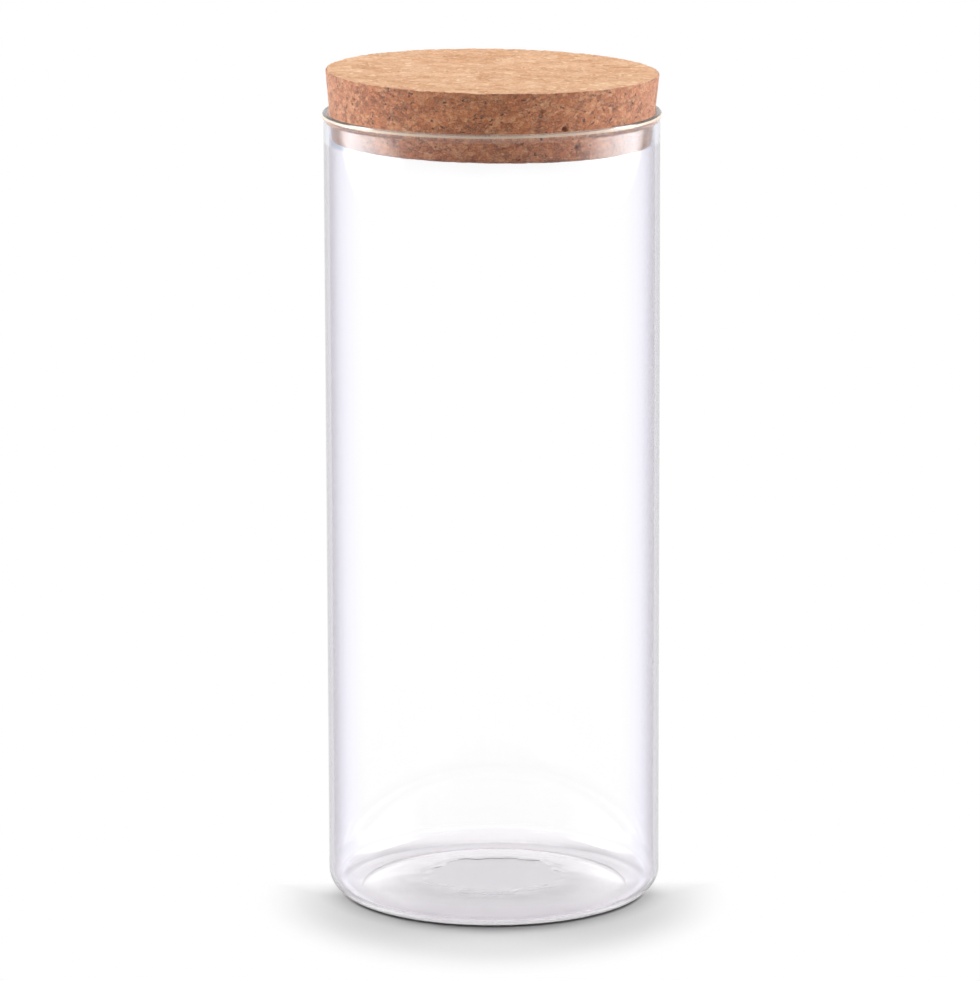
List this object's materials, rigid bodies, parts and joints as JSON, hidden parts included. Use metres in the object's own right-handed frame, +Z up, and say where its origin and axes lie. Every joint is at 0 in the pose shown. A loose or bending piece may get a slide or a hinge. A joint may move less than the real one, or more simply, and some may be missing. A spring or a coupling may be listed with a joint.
{
  "type": "storage jar",
  "caption": "Tall round storage jar of clear glass, closed by a tapered cork stopper that lifts out of its mouth.",
  "frame": {"origin": "middle of the foot, on the surface that the jar stands on", "axes": "+Z up along the jar's axis, towards its mouth; the stopper sits slightly askew, higher towards -X"},
  "size_m": [0.097, 0.097, 0.2408],
  "materials": {
    "clear_glass": "gloss",
    "cork": "matte"
  },
  "bodies": {
    "jar": {"glass_jar": "clear_glass"},
    "stopper": {"cork_stopper": "cork"}
  },
  "joints": [
    {"name": "stopper_lift", "type": "slide", "parent": "jar", "child": "stopper", "axis": [0, 0, 1], "range_m": [0, 0.06]}
  ]
}
